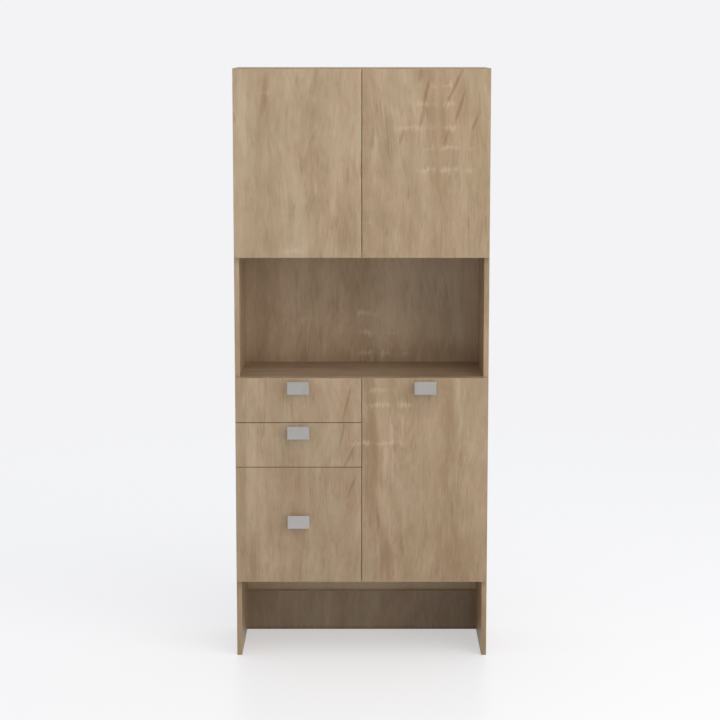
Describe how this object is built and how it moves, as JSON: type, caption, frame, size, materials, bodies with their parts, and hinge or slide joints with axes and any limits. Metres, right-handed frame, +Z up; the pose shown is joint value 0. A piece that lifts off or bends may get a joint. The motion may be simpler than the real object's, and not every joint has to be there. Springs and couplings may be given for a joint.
{
  "type": "tall kitchen cabinet",
  "caption": "Tall straight kitchen cabinet in oak-look board: handle-less upper doors, an open niche, a stack of drawers beside a lower door, and an open toe space.",
  "frame": {"origin": "on the floor, in the middle of the footprint with the pulls included", "axes": "+X to the right seen from the front, +Y from the front to the back, +Z up"},
  "size_m": [0.8, 0.374, 1.87],
  "materials": {
    "oak_board": "oak-look melamine, satin",
    "back_sheet": "oak-look fibreboard, bare brown behind",
    "drawer_board": "pale melamine, matt",
    "drawer_sheet": "pale lacquered fibreboard",
    "dowel_wood": "fluted beech",
    "pull_metal": "satin nickel",
    "hinge_nickel": "bright nickel",
    "rail_zinc": "zinc plated",
    "cam_zinc": "die-cast zinc",
    "screw_steel": "zinc plated"
  },
  "bodies": {
    "carcass": {"left_side_panel": "oak_board", "right_side_panel": "oak_board", "top_panel": "oak_board", "niche_ceiling_panel": "oak_board", "niche_floor_panel": "oak_board", "bottom_panel": "oak_board", "lower_divider": "oak_board", "rear_plinth_board": "oak_board", "upper_shelf": "oak_board", "lower_shelf": "oak_board", "upper_back_panel": "back_sheet", "lower_back_panel": "back_sheet", "cam_discs": "cam_zinc", "cam_bolts": "screw_steel", "wood_dowels": "dowel_wood", "back_screws": "screw_steel", "shelf_pins": "hinge_nickel", "carcass_screws": "screw_steel", "wall_brackets": "rail_zinc", "hinge_arms": "hinge_nickel", "hinge_plates": "hinge_nickel", "runner_cabinet_rails": "rail_zinc"},
    "upper_left_door": {"upper_left_door": "oak_board", "upper_left_door_hinge_cups": "hinge_nickel", "upper_left_door_hinge_pins": "hinge_nickel"},
    "upper_right_door": {"upper_right_door": "oak_board", "upper_right_door_hinge_cups": "hinge_nickel", "upper_right_door_hinge_pins": "hinge_nickel"},
    "lower_door": {"lower_door": "oak_board", "lower_door_hinge_cups": "hinge_nickel", "lower_door_hinge_pins": "hinge_nickel", "lower_door_pull": "pull_metal", "lower_door_screws": "screw_steel"},
    "drawer_1": {"drawer_1_front": "oak_board", "drawer_1_left_side": "drawer_board", "drawer_1_right_side": "drawer_board", "drawer_1_back": "drawer_board", "drawer_1_bottom": "drawer_sheet", "drawer_1_pull": "pull_metal", "drawer_1_screws": "screw_steel", "drawer_1_drawer_rails": "rail_zinc"},
    "drawer_1_middle_rails": {"drawer_1_middle_rails": "rail_zinc"},
    "drawer_2": {"drawer_2_front": "oak_board", "drawer_2_left_side": "drawer_board", "drawer_2_right_side": "drawer_board", "drawer_2_back": "drawer_board", "drawer_2_bottom": "drawer_sheet", "drawer_2_pull": "pull_metal", "drawer_2_screws": "screw_steel", "drawer_2_drawer_rails": "rail_zinc"},
    "drawer_2_middle_rails": {"drawer_2_middle_rails": "rail_zinc"},
    "drawer_3": {"drawer_3_front": "oak_board", "drawer_3_left_side": "drawer_board", "drawer_3_right_side": "drawer_board", "drawer_3_back": "drawer_board", "drawer_3_bottom": "drawer_sheet", "drawer_3_pull": "pull_metal", "drawer_3_screws": "screw_steel", "drawer_3_drawer_rails": "rail_zinc"},
    "drawer_3_middle_rails": {"drawer_3_middle_rails": "rail_zinc"}
  },
  "joints": [
    {"name": "upper_left_door_swing", "type": "hinge", "parent": "carcass", "child": "upper_left_door", "pos_m": [-0.392, -0.156, 1.576], "axis": [0, 0, -1], "range_deg": [0, 100]},
    {"name": "upper_right_door_swing", "type": "hinge", "parent": "carcass", "child": "upper_right_door", "pos_m": [0.392, -0.156, 1.576], "axis": [0, 0, 1], "range_deg": [0, 100]},
    {"name": "lower_door_swing", "type": "hinge", "parent": "carcass", "child": "lower_door", "pos_m": [0.392, -0.156, 0.575], "axis": [0, 0, 1], "range_deg": [0, 100]},
    {"name": "drawer_1_slide", "type": "slide", "parent": "carcass", "child": "drawer_1", "axis": [0, -1, 0], "range_m": [0, 0.28]},
    {"name": "drawer_2_slide", "type": "slide", "parent": "carcass", "child": "drawer_2", "axis": [0, -1, 0], "range_m": [0, 0.28]},
    {"name": "drawer_3_slide", "type": "slide", "parent": "carcass", "child": "drawer_3", "axis": [0, -1, 0], "range_m": [0, 0.28]},
    {"name": "drawer_1_rail_slide", "type": "slide", "parent": "carcass", "child": "drawer_1_middle_rails", "axis": [0, -1, 0], "range_m": [0, 0.14]},
    {"name": "drawer_2_rail_slide", "type": "slide", "parent": "carcass", "child": "drawer_2_middle_rails", "axis": [0, -1, 0], "range_m": [0, 0.14]},
    {"name": "drawer_3_rail_slide", "type": "slide", "parent": "carcass", "child": "drawer_3_middle_rails", "axis": [0, -1, 0], "range_m": [0, 0.14]}
  ],
  "couplings": [
    {"joint": "drawer_1_rail_slide", "follows": "drawer_1_slide", "ratio": 0.5},
    {"joint": "drawer_2_rail_slide", "follows": "drawer_2_slide", "ratio": 0.5},
    {"joint": "drawer_3_rail_slide", "follows": "drawer_3_slide", "ratio": 0.5}
  ]
}
